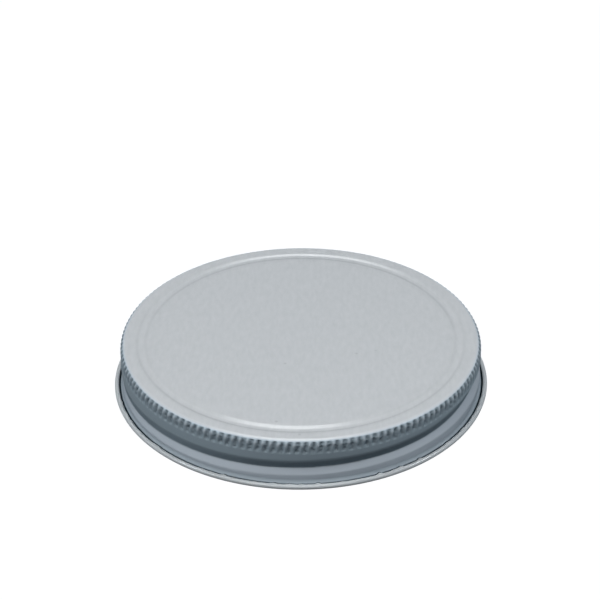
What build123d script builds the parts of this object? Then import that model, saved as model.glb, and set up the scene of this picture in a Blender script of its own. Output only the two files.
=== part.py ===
from build123d import *
from math import cos, radians, sin
import os

# Metal screw cap: foot of the curl on Z = 0, axis on Z, all sizes in millimetres

# Sheet and outside sizes
sheet = 0.25
skirt_diameter = 88.3
face_height = 12.1
shoulder_radius = 1.0
shoulder_flat_count = 3

# Ring channel pressed down into the top face, which it stiffens
channel_margin = 5.1
channel_floor = 1.0
channel_flank = 0.9
channel_depth = 0.25

# Outward curl at the foot, with its raw edge tucked up to the skirt
curl_reach = 1.85
curl_height = 1.2
curl_gap = 0.2
flare = 0.25
flare_height = 2.6
quarter_flat_count = 2

# Knurls: upright grooves pressed in from outside, so that the wall runs in and out
knurl_count = 154
knurl_depth = 0.3
knurl_length = 2.4
knurl_step = 0.03

os.makedirs("parts", exist_ok=True)

skirt_radius = skirt_diameter / 2
inner_radius = skirt_radius - sheet
underside = face_height - sheet
channel_inner = skirt_radius - channel_margin - channel_floor / 2
channel_outer = channel_inner + channel_floor
channel_under = underside - channel_depth
curl_bend = curl_height / 2
foot_radius = inner_radius + flare
foot_centre = foot_radius + curl_bend
curl_centre = skirt_radius + curl_reach - curl_bend
knurl_high = face_height - shoulder_radius
knurl_low = knurl_high - knurl_length
crest_radius = skirt_radius - knurl_step
root_radius = crest_radius - knurl_depth
knurl_inside = root_radius - sheet - knurl_step
taper = inner_radius - knurl_inside


def bend(centre, radius, first, last, flats):
    """Corners of a bend made of equal flats, from angle first to angle last in degrees."""
    angles = [radians(first + (last - first) * step / flats) for step in range(flats + 1)]
    return [(centre[0] + radius * cos(a), centre[1] + radius * sin(a)) for a in angles]


def fluted_ring(crest, root):
    """Corners round the knurls, crest and root by turns."""
    corners = []
    for corner in range(2 * knurl_count):
        radius = root if corner % 2 else crest
        angle = radians(180 * corner / knurl_count)
        corners.append((radius * cos(angle), radius * sin(angle)))
    return corners


# One sheet of even thickness, drawn along the line of its hidden face
with BuildPart() as cap:
    with BuildSketch(Plane.XZ):
        # Face, shoulder, wall and the turn at the foot
        with BuildLine():
            Polyline(
                (0, underside),
                (channel_inner - channel_flank, underside),
                (channel_inner, channel_under),
                (channel_outer, channel_under),
                (channel_outer + channel_flank, underside),
                *bend(
                    (skirt_radius - shoulder_radius, face_height - shoulder_radius),
                    shoulder_radius - sheet,
                    90,
                    0,
                    shoulder_flat_count,
                ),
                (inner_radius, flare_height),
                *bend((foot_centre, curl_bend), curl_bend, 180, 270, quarter_flat_count),
                (curl_centre, 0),
            )
            offset(amount=sheet, side=Side.LEFT, kind=Kind.INTERSECTION)
        make_face()
        # Rest of the curl, up and back towards the skirt
        with BuildLine():
            Polyline(
                *bend((curl_centre, curl_bend), curl_bend, -90, 90, 2 * quarter_flat_count),
                (foot_radius + sheet + curl_gap, curl_height),
            )
            offset(amount=sheet, side=Side.LEFT, kind=Kind.INTERSECTION)
        make_face()
    revolve(axis=Axis.Z)

    # The plain wall gives way to the fluted one, over a taper inside at either end
    with BuildSketch(Plane.XZ):
        for end, away in ((knurl_low, -taper), (knurl_high, taper)):
            Polygon(
                (knurl_inside, end),
                (inner_radius, end + away),
                (skirt_radius - sheet / 2, end + away),
                (skirt_radius - sheet / 2, end),
                align=None,
            )
    revolve(axis=Axis.Z)
    with BuildSketch(Plane.XY.offset(knurl_low)):
        Circle(skirt_radius + sheet)
        Circle(knurl_inside - sheet, mode=Mode.SUBTRACT)
    extrude(amount=knurl_length, mode=Mode.SUBTRACT)
    with BuildSketch(Plane.XY.offset(knurl_low)):
        Polygon(*fluted_ring(crest_radius, root_radius), align=None)
        Polygon(
            *fluted_ring(crest_radius - sheet, root_radius - sheet),
            align=None,
            mode=Mode.SUBTRACT,
        )
    extrude(amount=knurl_length)
    cap.part.label = "cap"

export_step(cap.part, "parts/cap.step")
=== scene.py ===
from math import cos, hypot, pi, radians, sin, tan

import bpy
from mathutils import Matrix, Vector


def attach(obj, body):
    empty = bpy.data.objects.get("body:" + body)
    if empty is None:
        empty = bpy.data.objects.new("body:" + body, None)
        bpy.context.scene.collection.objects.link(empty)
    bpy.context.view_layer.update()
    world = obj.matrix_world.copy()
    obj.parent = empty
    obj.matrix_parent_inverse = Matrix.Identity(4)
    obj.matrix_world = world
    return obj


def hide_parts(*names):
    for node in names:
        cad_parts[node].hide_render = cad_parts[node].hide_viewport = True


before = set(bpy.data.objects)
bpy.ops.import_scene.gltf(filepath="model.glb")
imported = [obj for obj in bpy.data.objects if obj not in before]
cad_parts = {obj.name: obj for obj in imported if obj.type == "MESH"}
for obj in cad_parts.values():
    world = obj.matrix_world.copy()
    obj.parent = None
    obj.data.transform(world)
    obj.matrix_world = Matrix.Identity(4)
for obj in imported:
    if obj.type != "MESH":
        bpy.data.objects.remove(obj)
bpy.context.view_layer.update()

# The cap is one sheet of coated tinplate, 0.25 mm thick, drawn to a shallow cup and curled at its foot.
# Its section runs from the axis out over the face, down the wall and round the curl to the raw edge,
# and back along the sheet's hidden side. Sizes are in millimetres.
MM = 0.001
sheet = 0.25
face_height = 12.1
wall_radius = 44.13
shoulder_radius = 1.15
shoulder_lead = 0.9
shoulder_tilt = 12.0
channel_radius = 39.05
channel_floor = 0.8
channel_inner_flank = 1.2
channel_outer_flank = 0.94
channel_depth = 0.2
flare_top = 1.9
flare_end = 17.0
foot_radius = 44.5
curl_bend = 0.6
curl_centre = 45.4
raw_edge_radius = 44.94
raw_edge_drop = 0.28

knurl_top = 11.97
knurl_full_top = 11.5
knurl_full_foot = 9.5
knurl_foot = 8.75
thread_top = 8.7
thread_full_top = 8.1
thread_full_foot = 2.2
thread_foot = 0.8

# Radii inside which lies the flat face, and outside which lies the curl
face_rim = 42.0
curl_rim = 44.7


def smooth(low, high, value):
    """Goes gently from 0 at low to 1 at high."""
    t = min(max((value - low) / (high - low), 0.0), 1.0)
    return t * t * (3 - 2 * t)


def ramp(low, high, value):
    """Goes straight from 0 at low to 1 at high, with its corners a little rounded."""
    t = (value - low) / (high - low)
    return 0.75 * t + 0.25 * smooth(low, high, value)


def spaced(first, last, count):
    """Evenly spaced values after first, up to last."""
    return [first + (last - first) * (k + 1) / count for k in range(count)]


def arc(centre, radius, first, last, count):
    """Points of an arc after its first one, angles in degrees."""
    return [
        (centre[0] + radius * cos(radians(a)), centre[1] + radius * sin(radians(a)))
        for a in spaced(first, last, count)
    ]


def face_line(fine):
    """Hidden side of the sheet from the axis to the curl's raw edge, as (radius, height)."""
    under = face_height - sheet
    inner, outer = channel_radius - channel_floor / 2, channel_radius + channel_floor / 2
    edge = inner - channel_inner_flank
    points = [(0.0, under), (edge - 1.5, under), (edge, under)]
    for r in spaced(edge, inner, 4 * fine):
        points.append((r, under - channel_depth * ramp(edge, inner, r)))
    points.append((channel_radius, under - channel_depth))
    points.append((outer, under - channel_depth))
    edge = outer + channel_outer_flank
    for r in spaced(outer, edge, 4 * fine):
        points.append((r, under - channel_depth * (1 - ramp(outer, edge, r))))
    bend = shoulder_radius - sheet
    lead_end = wall_radius - shoulder_radius + bend * sin(radians(shoulder_tilt))
    lead_drop = shoulder_lead * tan(radians(shoulder_tilt)) / 2
    centre_height = under - lead_drop - bend * cos(radians(shoulder_tilt))
    points += [(edge + 0.7, under), (lead_end - shoulder_lead, under)]
    for r in spaced(lead_end - shoulder_lead, lead_end, 3 * fine):
        points.append((r, under - lead_drop * (1 - (lead_end - r) / shoulder_lead) ** 2))
    points += arc((wall_radius - shoulder_radius, centre_height), bend, 90 - shoulder_tilt, 0, 5 * fine)
    inside = wall_radius - sheet
    points += [(inside, z) for z in spaced(centre_height, knurl_foot - 0.1, 6 * fine)]
    points += [(inside, z) for z in spaced(knurl_foot - 0.1, flare_top, 18 * fine)]
    turn_radius = foot_radius + curl_bend - curl_bend * cos(radians(flare_end))
    turn_height = curl_bend - curl_bend * sin(radians(flare_end))
    for z in spaced(flare_top, turn_height, 6 * fine):
        share = ((flare_top - z) / (flare_top - turn_height)) ** 2
        points.append((inside + (turn_radius - inside) * share, z))
    points += arc((foot_radius + curl_bend, curl_bend), curl_bend, 180 + flare_end, 270, 4 * fine)
    points.append((curl_centre, 0.0))
    points += arc((curl_centre, curl_bend), curl_bend, -90, 90, 9 * fine)
    for r in spaced(curl_centre, raw_edge_radius, 3):
        drop = raw_edge_drop * ((curl_centre - r) / (curl_centre - raw_edge_radius)) ** 2
        points.append((r, 2 * curl_bend - drop))
    return points


def other_side(points):
    """The same line moved by the sheet's thickness to its other side."""
    moved = []
    for k, (r, z) in enumerate(points):
        r0, z0 = points[max(k - 1, 0)]
        r1, z1 = points[min(k + 1, len(points) - 1)]
        run = hypot(r1 - r0, z1 - z0)
        moved.append((r - sheet * (z1 - z0) / run, z + sheet * (r1 - r0) / run))
    moved[0] = (0.0, moved[0][1])
    return moved


def knurl_share(r, z):
    """How deep the knurls are at a height: they run out on the shoulder and above the thread."""
    if r < face_rim:
        return 0.0
    return smooth(knurl_foot, knurl_full_foot, z) * (1 - smooth(knurl_full_top, knurl_top, z))


def thread_share(r, z):
    """Where the rolled thread may press the wall in: between the flare and the knurls."""
    if r > 44.6 or z > 10:
        return 0.0
    return smooth(thread_foot, thread_full_foot, z) * (1 - smooth(thread_full_top, thread_top, z))


def wall_shade_share(r, z):
    """Where painted shade makes the wall bluer and darker than the face: from the shoulder down."""
    if r > curl_rim:
        return 0.75
    if r <= 42.9:
        return 0.0
    flare = 0.5 * (1 - smooth(1.5, 2.2, z))
    return 1 - smooth(11.76, 12.1, z) + flare


def edge_highlight_share(r, z):
    """Where a painted highlight pales the edge of the face: on the lead of the shoulder."""
    return smooth(42.5, 42.8, r) * smooth(11.86, 12.0, z) if z > 11.0 else 0.0


def channel_shade_share(r, z):
    """Painted shade along the channel: above 0 on its outer flank, below 0 on its inner one."""
    if z < 11.0 or r > face_rim:
        return 0.0
    outer = 1 - smooth(0.15, 0.5, abs(r - channel_radius - 1.0))
    inner = 1 - smooth(0.15, 0.6, abs(r - channel_radius + 1.15))
    return outer - inner


def gap_share(r, z):
    """Where painted shade darkens the curl's gap."""
    return 1 - smooth(0.74, 1.02, z) if r > 44.2 else 0.0


section = bpy.data.meshes.new("cap_section")
hidden = face_line(1)
shown = other_side(face_line(2))
line = shown + hidden[::-1]
links = [(k, k + 1) for k in range(len(line) - 1)]
section.from_pydata([(r * MM, 0.0, z * MM) for r, z in line], links, [])
knurl_values, thread_values, step_values, inner_values = [], [], [], []
rim_values, wall_shade_values, gap_values, edge_highlight_values, channel_shade_values = [], [], [], [], []
for k, (r, z) in enumerate(line):
    inner = k >= len(shown)
    knurled = knurl_share(r, z)
    knurl_values.append(knurled)
    thread_values.append(thread_share(r, z))
    step_values.append((2 if inner else 1) if knurled > 0 else 4)
    inner_values.append(1.0 if inner else 0.0)
    wall_shade_values.append(0.0 if inner else wall_shade_share(r, z))
    gap_values.append(0.0 if inner else gap_share(r, z))
    edge_highlight_values.append(0.0 if inner else edge_highlight_share(r, z))
    channel_shade_values.append(0.0 if inner else channel_shade_share(r, z))
    rim_values.append(smooth(curl_centre, raw_edge_radius, r) if z > 0.6 and r > 44.5 else 0.0)
for name, kind, values in (
    ("knurl_share", "FLOAT", knurl_values),
    ("thread_share", "FLOAT", thread_values),
    ("column_step", "INT", step_values),
    ("inner_side", "FLOAT", inner_values),
    ("raw_edge", "FLOAT", rim_values),
    ("wall_tone", "FLOAT", wall_shade_values),
    ("in_gap", "FLOAT", gap_values),
    ("edge_gleam", "FLOAT", edge_highlight_values),
    ("channel_grime", "FLOAT", channel_shade_values),
):
    section.attributes.new(name, kind, "POINT").data.foreach_set("value", values)
section_object = bpy.data.objects.new("cap_section", section)


# The cap itself, made by rule: the section is turned round the axis, the knurls press the wall in
# and out, the thread is rolled into it along a right-handed helix, and the raw edge wavers a little.
# Heights are in millimetres, places round the cap in turns from its front, positive to the right.
lean_pivot = 10.4
upper_knurls = (10.3, 11.1)
thread_deepens = (-84 / 360, -16 / 360)
shade_middle = 12 / 360
shade_fades = (12 / 360, 55 / 360)
wall_darkening_step = (-0.5, 0.7)


class NodeBench:
    """Adds nodes to a tree and joins them by short calls."""

    def __init__(self, tree):
        self.tree = tree

    def add(self, kind, inputs=None, **settings):
        node = self.tree.nodes.new(kind)
        for key, value in settings.items():
            setattr(node, key, value)
        for key, value in (inputs or {}).items():
            socket = node.inputs[key]
            if isinstance(value, bpy.types.NodeSocket):
                self.tree.links.new(value, socket)
            else:
                socket.default_value = value
        return node

    def math(self, operation, first, second=0.0, third=0.0):
        return self.add(
            "ShaderNodeMath", {0: first, 1: second, 2: third}, operation=operation
        ).outputs[0]

    def eased(self, value, low, high, first=0.0, last=1.0):
        """Goes gently from first at low to last at high."""
        return self.add(
            "ShaderNodeMapRange",
            {"Value": value, "From Min": low, "From Max": high, "To Min": first, "To Max": last},
            interpolation_type="SMOOTHSTEP",
        ).outputs["Result"]

    def point(self, x, y, z=0.0):
        """Joins three measures to a place."""
        return self.add("ShaderNodeCombineXYZ", {"X": x, "Y": y, "Z": z}).outputs[0]

    def blend(self, share, first, second):
        """Mixes two colours."""
        return self.add(
            "ShaderNodeMix", {0: share, 6: first, 7: second}, data_type="RGBA"
        ).outputs[2]


def cap_tree():
    """Tree that turns the section into the closed sheet of the cap."""
    tree = bpy.data.node_groups.new("cap_by_rule", "GeometryNodeTree")
    face = tree.interface
    face.new_socket("Geometry", in_out="INPUT", socket_type="NodeSocketGeometry")
    for name, kind in (
        ("Section", "NodeSocketObject"),
        ("Knurls", "NodeSocketInt"),
        ("Columns per knurl", "NodeSocketInt"),
        ("Knurl depth", "NodeSocketFloat"),
        ("First groove", "NodeSocketFloat"),
        ("Knurl lean", "NodeSocketFloat"),
        ("Knurl unevenness", "NodeSocketFloat"),
        ("Thread pitch", "NodeSocketFloat"),
        ("Thread height in front", "NodeSocketFloat"),
        ("Thread half width", "NodeSocketFloat"),
        ("Thread upper share", "NodeSocketFloat"),
        ("Thread depth", "NodeSocketFloat"),
        ("Thread start", "NodeSocketFloat"),
        ("Thread end", "NodeSocketFloat"),
        ("Thread fade", "NodeSocketFloat"),
        ("Thread rise", "NodeSocketFloat"),
        ("Rise start", "NodeSocketFloat"),
        ("Rise end", "NodeSocketFloat"),
        ("Knurl shade", "NodeSocketFloat"),
        ("Thread shade", "NodeSocketFloat"),
        ("Channel grime", "NodeSocketFloat"),
        ("Raw edge waver", "NodeSocketFloat"),
        ("Material", "NodeSocketMaterial"),
    ):
        face.new_socket(name, in_out="INPUT", socket_type=kind)
    face.new_socket("Geometry", in_out="OUTPUT", socket_type="NodeSocketGeometry")
    bench = NodeBench(tree)
    given = tree.nodes.new("NodeGroupInput").outputs
    math = bench.math

    source = bench.add("GeometryNodeObjectInfo", {"Object": given["Section"]}).outputs["Geometry"]
    size = bench.add("GeometryNodeAttributeDomainSize", {"Geometry": source}, component="MESH")
    rows = size.outputs["Point Count"]
    columns = math("MULTIPLY", given["Knurls"], given["Columns per knurl"])
    grid = bench.add("GeometryNodeMeshGrid", {"Vertices X": math("ADD", columns, 1.0), "Vertices Y": rows})
    index = bench.add("GeometryNodeInputIndex").outputs[0]
    column = math("FLOOR", math("DIVIDE", math("ADD", index, 0.5), rows))
    row = math("SUBTRACT", index, math("MULTIPLY", column, rows))

    def sampled(attribute, kind="FLOAT"):
        """Value of a section point's attribute on this row of the grid."""
        if attribute == "position":
            value = bench.add("GeometryNodeInputPosition").outputs[0]
        else:
            value = bench.add(
                "GeometryNodeInputNamedAttribute", {"Name": attribute}, data_type=kind
            ).outputs[0]
        node = bench.add("GeometryNodeSampleIndex", {"Geometry": source, "Index": row}, data_type=kind)
        tree.links.new(value, node.inputs["Value"])
        return node.outputs["Value"]

    place = bench.add("ShaderNodeSeparateXYZ", {0: sampled("position", "FLOAT_VECTOR")})
    radius, height = place.outputs["X"], place.outputs["Z"]
    step = sampled("column_step", "INT")
    snapped = math("MULTIPLY", math("ROUND", math("DIVIDE", column, step)), step)
    turn = math("DIVIDE", math("MODULO", snapped, columns), columns)
    angle = math("MULTIPLY", turn, 2 * pi)

    lean = math("MULTIPLY", math("SUBTRACT", height, lean_pivot * MM), given["Knurl lean"])
    lean = math("DIVIDE", lean, radius)
    lean = math("MULTIPLY", lean, math("GREATER_THAN", radius, face_rim * MM))
    phase = math("SUBTRACT", math("SUBTRACT", angle, given["First groove"]), lean)
    phase = math("MULTIPLY", phase, given["Knurls"])
    wave = math("MULTIPLY_ADD", math("COSINE", phase), -0.5, -0.5)
    to_front, to_right = math("COSINE", angle), math("SINE", angle)
    on_rib = bench.point(math("MULTIPLY", to_front, radius), math("MULTIPLY", to_right, radius), height)
    uneven = bench.add(
        "ShaderNodeTexNoise", {"Vector": on_rib, "Scale": 1500.0, "Detail": 2.0, "Roughness": 0.6}
    ).outputs[0]
    uneven = math("MULTIPLY_ADD", math("SUBTRACT", uneven, 0.5), given["Knurl unevenness"], 1.0)
    grooved = math("MULTIPLY", math("MULTIPLY", wave, sampled("knurl_share")), uneven)
    knurl = math("MULTIPLY", grooved, given["Knurl depth"])
    # Painted shade in the knurl grooves, less of it low down, and in the curl's gap.
    shade = math("MULTIPLY", math("SQRT", sampled("knurl_share")), math("ABSOLUTE", wave))
    towards_top = bench.eased(height, upper_knurls[0] * MM, upper_knurls[1] * MM)
    shade = math("MULTIPLY", shade, math("MULTIPLY_ADD", towards_top, 0.45, 0.55))
    shade = math("MULTIPLY", math("MULTIPLY", shade, uneven), given["Knurl shade"])
    shade = math("MAXIMUM", shade, sampled("in_gap"))
    # Painted shade along the channel, darkest on the flank turned away from the camera: the outer one in
    # front, the inner one behind.
    channel_dark = sampled("channel_grime")
    for sense in (1.0, -1.0):
        side_share = math("MAXIMUM", math("MULTIPLY", to_front, sense), 0.0)
        side_share = math("MULTIPLY_ADD", side_share, 0.7, 0.3)
        flank = math("MAXIMUM", math("MULTIPLY", channel_dark, sense), 0.0)
        flank = math("MULTIPLY", math("MULTIPLY", flank, side_share), given["Channel grime"])
        shade = math("MAXIMUM", shade, flank)

    from_front = math("SUBTRACT", turn, math("GREATER_THAN", turn, 0.5))
    pressed, wall_darkening_steps = None, []
    on_wall = sampled("thread_share")
    for whole_turns in (-1.0, 0.0):
        along = math("ADD", from_front, whole_turns)
        middle = math("MULTIPLY_ADD", along, given["Thread pitch"], given["Thread height in front"])
        rise = bench.eased(along, given["Rise start"], given["Rise end"])
        deepened = math("MULTIPLY_ADD", rise, 0.3, 1.0)
        rise = math("MULTIPLY", rise, given["Thread rise"])
        away = math("SUBTRACT", height, math("ADD", middle, rise))
        upper = math("MULTIPLY", given["Thread half width"], given["Thread upper share"])
        upper = math("SUBTRACT", 1.0, math("DIVIDE", away, upper))
        lower = math("ADD", 1.0, math("DIVIDE", away, math("ADD", given["Thread half width"], rise)))
        hollow = math("SMOOTH_MIN", upper, lower, 0.06)
        hollow = math("SMOOTH_MAX", hollow, 0.0, 0.16)
        deeper = bench.eased(along, *thread_deepens, 0.55)
        hollow = math("MULTIPLY", hollow, math("MULTIPLY", deeper, deepened))
        fades = []
        for end, sense in (("Thread start", 1.0), ("Thread end", -1.0)):
            inwards = math("MULTIPLY", math("SUBTRACT", along, given[end]), sense)
            fades.append(bench.eased(inwards, 0.0, given["Thread fade"]))
        share = math("MULTIPLY", hollow, math("MULTIPLY", fades[0], fades[1]))
        pressed = share if pressed is None else math("MAXIMUM", pressed, share)
        # Painted shade: the wall above the thread is made darker than the thread's lower flank.
        wall_darkening_steps.append(bench.eased(away, wall_darkening_step[0] * MM, wall_darkening_step[1] * MM))
        last_fade = fades[1]
        # Painted shade on the thread's upper flank, fading away from the front.
        shaded = bench.eased(share, 0.05, 0.4)
        shaded = math("MULTIPLY", math("MULTIPLY", shaded, math("GREATER_THAN", away, 0.0)), on_wall)
        aside = math("ABSOLUTE", math("SUBTRACT", from_front, shade_middle))
        shaded = math("MULTIPLY", shaded, bench.eased(aside, *shade_fades, 1.0, 0.05))
        shade = math("MAXIMUM", shade, math("MULTIPLY", shaded, given["Thread shade"]))
    thread = math("MULTIPLY", math("MULTIPLY", pressed, given["Thread depth"]), on_wall)
    # Painted shade of the wall: half below the thread, full above it and on the curl, times the section's
    # share.
    wall_darkening = math("MULTIPLY_ADD", math("SUBTRACT", wall_darkening_steps[1], wall_darkening_steps[0]), last_fade, wall_darkening_steps[0])
    wall_darkening = math("MULTIPLY_ADD", wall_darkening, 0.5, 0.5)
    wall_darkening = math("MAXIMUM", wall_darkening, math("GREATER_THAN", radius, curl_rim * MM))
    wall_darkening = math("MULTIPLY", wall_darkening, sampled("wall_tone"))
    # Painted highlight: near the top, the knurls' rib crests lose some of the wall's painted shade.
    crest_highlight = math("MULTIPLY", math("POWER", math("ADD", wave, 1.0), 2.0), sampled("knurl_share"))
    crest_highlight = math("MULTIPLY", crest_highlight, towards_top)
    wall_darkening = math("MULTIPLY", wall_darkening, math("MULTIPLY_ADD", crest_highlight, -0.3, 1.0))

    around = bench.point(math("MULTIPLY", to_front, 9.0), math("MULTIPLY", to_right, 9.0))
    noise = bench.add(
        "ShaderNodeTexNoise", {"Vector": around, "Scale": 3.2, "Detail": 1.5, "Roughness": 0.6}
    ).outputs[0]
    kinks = math("POWER", math("MAXIMUM", math("MULTIPLY_ADD", noise, 6.0, -3.3), 0.0), 1.2)
    waver = math("MULTIPLY", math("MULTIPLY", kinks, given["Raw edge waver"]), sampled("raw_edge"))

    out = math("SUBTRACT", math("ADD", radius, knurl), thread)
    up = math("ADD", height, waver)
    spot = bench.point(
        math("MULTIPLY", out, to_right), math("MULTIPLY", math("MULTIPLY", out, to_front), -1.0), up
    )
    # The painted highlight on the face's edge is kept to the front half.
    in_front = math("MAXIMUM", to_front, 0.0)
    kept = grid.outputs["Mesh"]
    for name, value in (
        ("inner_side", sampled("inner_side")),
        ("hollow_shade", shade),
        ("wall_tone", wall_darkening),
        ("edge_gleam", math("MULTIPLY", sampled("edge_gleam"), in_front)),
    ):
        kept = bench.add(
            "GeometryNodeStoreNamedAttribute",
            {"Geometry": kept, "Name": name, "Value": value},
            data_type="FLOAT",
            domain="POINT",
        ).outputs[0]
    placed = bench.add("GeometryNodeSetPosition", {"Geometry": kept, "Position": spot}).outputs[0]
    closed = bench.add("GeometryNodeMergeByDistance", {"Geometry": placed, "Distance": 2e-7}).outputs[0]
    smooth_faces = bench.add("GeometryNodeSetShadeSmooth", {"Geometry": closed}).outputs[0]
    real = bench.add("GeometryNodeRealizeInstances", {"Geometry": smooth_faces}).outputs[0]
    dressed = bench.add(
        "GeometryNodeSetMaterial", {"Geometry": real, "Material": given["Material"]}
    ).outputs[0]
    result = tree.nodes.new("NodeGroupOutput")
    tree.links.new(dressed, result.inputs[0])
    return tree


def coated_sheet():
    """Pale grey lacquer with a fine rolled grain outside, plain inside, with painted shade in its hollows
    and on its wall and a painted highlight on the face's edge.
    """
    material = bpy.data.materials.new("coated_sheet")
    material.use_nodes = True
    tree = material.node_tree
    tree.nodes.clear()
    bench = NodeBench(tree)
    spot = bench.add("ShaderNodeTexCoord").outputs["Object"]
    long_grain = bench.add("ShaderNodeMapping", {"Vector": spot, "Scale": (1.0, 0.35, 1.0)}).outputs[0]
    mottle = bench.add(
        "ShaderNodeTexNoise", {"Vector": long_grain, "Scale": 900.0, "Detail": 4.0, "Roughness": 0.6}
    ).outputs[0]
    outer = bench.blend(mottle, (0.427, 0.441, 0.446, 1), (0.523, 0.535, 0.54, 1))
    side = bench.add("ShaderNodeAttribute", attribute_name="inner_side").outputs["Fac"]
    for x, y, share in (
        (-3.75, -11.84, 0.16),
        (-5.71, -35.79, 0.2),
        (13.46, -7.71, 0.17),
        (18.1, -6.45, 0.1),
        (-0.42, -40.94, 0.18),
    ):
        away = bench.add(
            "ShaderNodeVectorMath", {0: spot, 1: (x * MM, y * MM, 12.1 * MM)}, operation="DISTANCE"
        ).outputs["Value"]
        speck = bench.add(
            "ShaderNodeMapRange",
            {"Value": away, "From Min": 0.15 * MM, "From Max": 0.5 * MM, "To Min": share, "To Max": 0.0},
        ).outputs["Result"]
        outer = bench.blend(speck, outer, (0.02, 0.026, 0.032, 1))
    # Painted highlight: the face's edge turns paler in front.
    edge_highlight_mask = bench.add("ShaderNodeAttribute", attribute_name="edge_gleam").outputs["Fac"]
    outer = bench.blend(edge_highlight_mask, outer, (0.51, 0.525, 0.53, 1))
    # Painted shade: the wall turns bluer and then darker than the face; the paler bluish colour is the
    # thread's lower flank, the dark one the wall above.
    wall = bench.add("ShaderNodeAttribute", attribute_name="wall_tone").outputs["Fac"]
    whole_wall = bench.math("MINIMUM", bench.math("MULTIPLY", wall, 2.0), 1.0)
    outer = bench.blend(whole_wall, outer, (0.453, 0.506, 0.55, 1))
    upper_wall = bench.math("MAXIMUM", bench.math("MULTIPLY_ADD", wall, 2.0, -1.0), 0.0)
    outer = bench.blend(upper_wall, outer, (0.27, 0.33, 0.365, 1))
    colour = bench.blend(side, outer, (0.48, 0.505, 0.512, 1))
    # Painted shade: near-black in the knurl grooves, on the thread's upper flank, along the channel and in
    # the curl's gap.
    hollow = bench.add("ShaderNodeAttribute", attribute_name="hollow_shade").outputs["Fac"]
    colour = bench.blend(hollow, colour, (0.02, 0.032, 0.042, 1))
    fine = bench.add(
        "ShaderNodeTexNoise", {"Vector": spot, "Scale": 2200.0, "Detail": 2.0, "Roughness": 0.5}
    ).outputs[0]
    bump = bench.add("ShaderNodeBump", {"Strength": 0.05, "Distance": 0.00005, "Height": fine}).outputs[0]
    paint = bench.add(
        "ShaderNodeBsdfPrincipled",
        {"Roughness": 0.2, "Metallic": 0.08, "Specular IOR Level": 0.0, "Normal": bump},
    )
    tree.links.new(colour, paint.inputs["Base Color"])
    result = bench.add("ShaderNodeOutputMaterial")
    tree.links.new(paint.outputs[0], result.inputs["Surface"])
    return material


cap_material = coated_sheet()
seed_mesh = bpy.data.meshes.new("cap_seed")
cap_maker = bpy.data.objects.new("cap_maker", seed_mesh)
bpy.context.scene.collection.objects.link(cap_maker)
rule = cap_maker.modifiers.new("rule", "NODES")
rule.node_group = cap_tree()
for socket, value in {
    "Section": section_object,
    "Knurls": 154,
    "Columns per knurl": 8,
    "Knurl depth": 0.38 * MM,
    "First groove": radians(-1.2),
    "Knurl lean": 0.14,
    "Knurl unevenness": 3.2,
    "Thread pitch": 5.08 * MM,
    "Thread height in front": 4.65 * MM,
    "Thread half width": 1.65 * MM,
    "Thread upper share": 1.5,
    "Thread depth": 0.69 * MM,
    "Thread start": -310 / 360,
    "Thread end": 130 / 360,
    "Thread fade": 35 / 360,
    "Thread rise": 1.9 * MM,
    "Rise start": 40 / 360,
    "Rise end": 92 / 360,
    "Knurl shade": 0.46,
    "Thread shade": 0.38,
    "Channel grime": 0.14,
    "Raw edge waver": 0.5 * MM,
    "Material": cap_material,
}.items():
    rule[rule.node_group.interface.items_tree[socket].identifier] = value
cap_maker.update_tag()
bpy.context.view_layer.update()
cap_mesh = bpy.data.meshes.new_from_object(cap_maker.evaluated_get(bpy.context.evaluated_depsgraph_get()))
cap_mesh.name = "screw_cap"
cap = bpy.data.objects.new("screw_cap", cap_mesh)
bpy.context.scene.collection.objects.link(cap)
bpy.data.objects.remove(cap_maker)
triangles = sum(len(p.vertices) - 2 for p in cap_mesh.polygons)
print("cap", len(cap_mesh.vertices), "points", triangles, "triangles")
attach(cap, "root")
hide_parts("cap")

# The floor is a sheet of white studio paper, laid flat under the cap's foot. It is white to the
# camera and in reflections, and keeps the cap's soft shadow.
floor_mesh = bpy.data.meshes.new("studio_floor")
reach = 6.0
corners = [(-reach, -reach, 0), (reach, -reach, 0), (reach, reach, 0), (-reach, reach, 0)]
floor_mesh.from_pydata(corners, [], [(0, 1, 2, 3)])
floor = bpy.data.objects.new("studio_floor", floor_mesh)
floor.location.z = -0.00001
bpy.context.scene.collection.objects.link(floor)
paper = bpy.data.materials.new("white_floor")
paper.use_nodes = True
paper.node_tree.nodes.clear()
bench = NodeBench(paper.node_tree)
rays = bench.add("ShaderNodeLightPath").outputs
seen = bench.math("MINIMUM", bench.math("ADD", rays["Is Camera Ray"], rays["Is Glossy Ray"]), 1.0)
paint = bench.add("ShaderNodeBsdfDiffuse", {"Color": (0.05, 0.06, 0.07, 1)})
glow = bench.add("ShaderNodeEmission", {"Color": (1, 1, 1, 1), "Strength": 0.97})
bright = bench.add("ShaderNodeAddShader", {0: paint.outputs[0], 1: glow.outputs[0]})
either = bench.add("ShaderNodeMixShader", {0: seen, 1: paint.outputs[0], 2: bright.outputs[0]})
result = bench.add("ShaderNodeOutputMaterial", {"Surface": either.outputs[0]})
floor_mesh.materials.append(paper)

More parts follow.
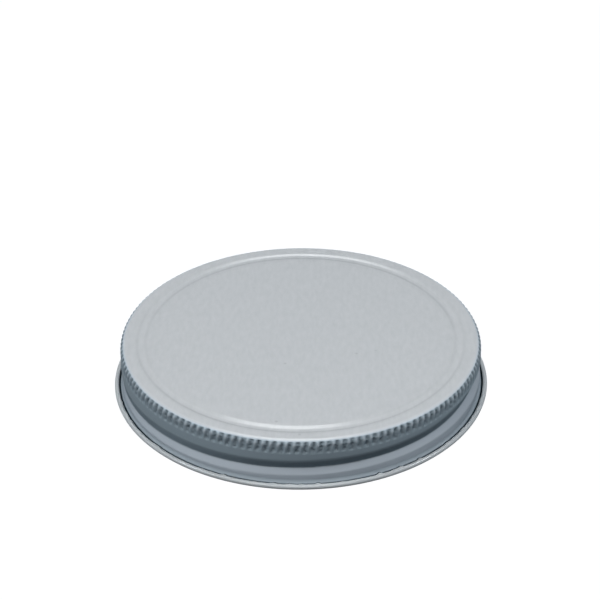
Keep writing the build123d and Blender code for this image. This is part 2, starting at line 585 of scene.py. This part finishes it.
# The studio light is four soft boxes hung round the cap, in a room that is white where the camera
# and reflections see it and nearly dark otherwise.
world = bpy.data.worlds.new("studio")
bpy.context.scene.world = world
world.use_nodes = True
world.node_tree.nodes.clear()
bench = NodeBench(world.node_tree)
rays = bench.add("ShaderNodeLightPath").outputs
seen = bench.math("ADD", rays["Is Camera Ray"], rays["Is Glossy Ray"])
seen = bench.math("MINIMUM", bench.math("ADD", seen, rays["Is Transmission Ray"]), 1.0)
shade = bench.blend(seen, (0.0, 0.02, 0.06, 1), (1, 1, 1, 1))
sky = bench.add("ShaderNodeBackground", {"Color": shade, "Strength": 1.0})
bench.add("ShaderNodeOutputWorld", {"Surface": sky.outputs[0]})


def soft_box(name, tint, azimuth, elevation, distance, width, height, watts):
    """Soft box aimed at the cap; azimuth 0 is on the camera's side, 90 to the right."""
    lamp = bpy.data.lights.new(name, "AREA")
    lamp.shape = "RECTANGLE"
    lamp.size, lamp.size_y = width, height
    lamp.energy = watts
    lamp.color = tint
    a, e = radians(azimuth), radians(elevation)
    place = distance * Vector((sin(a) * cos(e), -cos(a) * cos(e), sin(e)))
    box = bpy.data.objects.new(name, lamp)
    box.location = place
    box.rotation_euler = place.to_track_quat("Z", "Y").to_euler()
    bpy.context.scene.collection.objects.link(box)
    return lamp


soft_box("front_box", (1.03, 1.0, 0.97), -10, 60, 0.55, 0.44, 0.28, 1.6)
soft_box("left_box", (0.96, 1.0, 1.03), -76, 45, 1.0, 0.3, 0.3, 3.9)
soft_box("right_box", (0.95, 1.0, 1.03), 88, 46, 1.0, 0.25, 0.25, 3.9)
soft_box("back_box", (1.0, 1.0, 1.0), 182.6, 55, 2.0, 0.46, 0.26, 4.6)

# The camera stands where the photograph was taken from, as worked out from the outlines of the
# curl and of the face. Its distance is a multiple of the curl's radius of 46 mm.
elevation = radians(34.0278)
distance = 10.2441 * 46.0 * MM
focal_pixels = 1896.1
back = Vector((0, -cos(elevation), sin(elevation)))
right = Vector((1, 0, 0))
up = back.cross(right)
place = back * distance
for axis, turned in ((up.copy(), 0.0282), (right.copy(), 2.3431), (back.copy(), -0.4197)):
    spin = Matrix.Rotation(radians(turned), 3, axis)
    right, up, back = spin @ right, spin @ up, spin @ back
lens = bpy.data.cameras.new("camera")
lens.sensor_fit = "HORIZONTAL"
lens.sensor_width = 36.0
lens.lens = focal_pixels * 36.0 / 600
lens.clip_start = 0.01
camera = bpy.data.objects.new("camera", lens)
camera.matrix_world = Matrix.Translation(place) @ Matrix((right, up, back)).transposed().to_4x4()
bpy.context.scene.collection.objects.link(camera)
bpy.context.scene.camera = camera
bpy.context.scene.view_settings.view_transform = "Standard"
